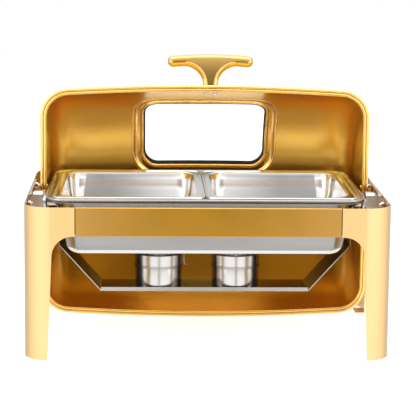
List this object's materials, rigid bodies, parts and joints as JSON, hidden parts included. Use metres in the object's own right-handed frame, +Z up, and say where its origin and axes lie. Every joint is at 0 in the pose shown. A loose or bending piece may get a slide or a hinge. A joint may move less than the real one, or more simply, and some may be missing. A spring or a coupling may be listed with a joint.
{
  "type": "roll top chafer",
  "caption": "Rectangular buffet food warmer with a half-round roll-back lid, glass window, T handle, water pan, half-size food pans and fuel holders on a hanging tray.",
  "frame": {"origin": "on the ground, at the middle of the footprint", "axes": "+Z up, +X to the user's right, -Y towards the user; the lid rolls about a line along X"},
  "size_m": [0.63, 0.45, 0.4999],
  "materials": {
    "gold_frame": "gold-coloured stainless sheet, fine brushed and bright",
    "gold_lid": "gold-coloured stainless sheet, brushed inside",
    "gold_cast": "polished casting, gold-coloured",
    "steel": "satin stainless steel",
    "fastener": "bright plated steel",
    "bushing": "black bearing plastic",
    "gasket": "black silicone",
    "glass": "clear tempered glass",
    "pan_steel": "satin stainless steel with bright rims",
    "holder_steel": "polished stainless steel"
  },
  "bodies": {
    "frame": {"front_band": "gold_frame", "rear_band": "gold_frame", "left_band": "gold_frame", "right_band": "gold_frame", "leg_front_left": "gold_frame", "leg_front_right": "gold_frame", "leg_rear_left": "gold_frame", "leg_rear_right": "gold_frame", "block_screws": "gold_frame", "hinge_block_left": "steel", "hinge_block_right": "steel", "hinge_shaft_left": "steel", "hinge_shaft_right": "steel", "friction_washers": "steel", "spacer_sleeves": "steel", "carrier_plate_left": "steel", "carrier_plate_right": "steel", "fuel_tray": "steel", "tray_rivets": "steel", "leg_studs": "fastener", "leg_nuts": "fastener", "shaft_set_screws": "fastener", "shaft_clips": "fastener"},
    "lid": {"lid_shell": "gold_lid", "lid_rim_upper": "gold_lid", "lid_rim_lower": "gold_lid", "hinge_plate_left": "steel", "hinge_plate_right": "steel", "plate_rivets": "gold_lid", "lid_bushings": "bushing", "window_frame": "gold_lid", "window_gasket": "gasket", "window_glass": "glass", "lid_handle": "gold_cast", "handle_screws": "fastener"},
    "water_pan": {"water_pan": "pan_steel"},
    "food_pan_left": {"food_pan_left": "pan_steel"},
    "food_pan_right": {"food_pan_right": "pan_steel"},
    "fuel_holder_left": {"fuel_cup_left": "holder_steel", "fuel_cap_left": "holder_steel", "cap_rivet_left": "holder_steel"},
    "fuel_holder_right": {"fuel_cup_right": "holder_steel", "fuel_cap_right": "holder_steel", "cap_rivet_right": "holder_steel"},
    "damper_left": {"damper_left": "holder_steel"},
    "damper_right": {"damper_right": "holder_steel"}
  },
  "joints": [
    {"name": "lid_roll", "type": "hinge", "parent": "frame", "child": "lid", "pos_m": [0, 0, 0.238], "axis": [1, 0, 0], "range_deg": [0, 90]},
    {"name": "water_pan_lift", "type": "slide", "parent": "frame", "child": "water_pan", "axis": [0, 0, 1], "range_m": [0, 0.004]},
    {"name": "food_pan_left_lift", "type": "slide", "parent": "water_pan", "child": "food_pan_left", "axis": [0, 0, 1], "range_m": [0, 0.04]},
    {"name": "food_pan_right_lift", "type": "slide", "parent": "water_pan", "child": "food_pan_right", "axis": [0, 0, 1], "range_m": [0, 0.04]},
    {"name": "fuel_holder_left_lift", "type": "slide", "parent": "frame", "child": "fuel_holder_left", "axis": [0, 0, 1], "range_m": [0, 0.01]},
    {"name": "fuel_holder_right_lift", "type": "slide", "parent": "frame", "child": "fuel_holder_right", "axis": [0, 0, 1], "range_m": [0, 0.01]},
    {"name": "damper_left_swivel", "type": "hinge", "parent": "fuel_holder_left", "child": "damper_left", "pos_m": [-0.116, 0, 0.147], "axis": [0, 0, 1], "range_deg": [0, 75]},
    {"name": "damper_right_swivel", "type": "hinge", "parent": "fuel_holder_right", "child": "damper_right", "pos_m": [0.057, -0.033, 0.147], "axis": [0, 0, 1], "range_deg": [-75, 0]}
  ]
}
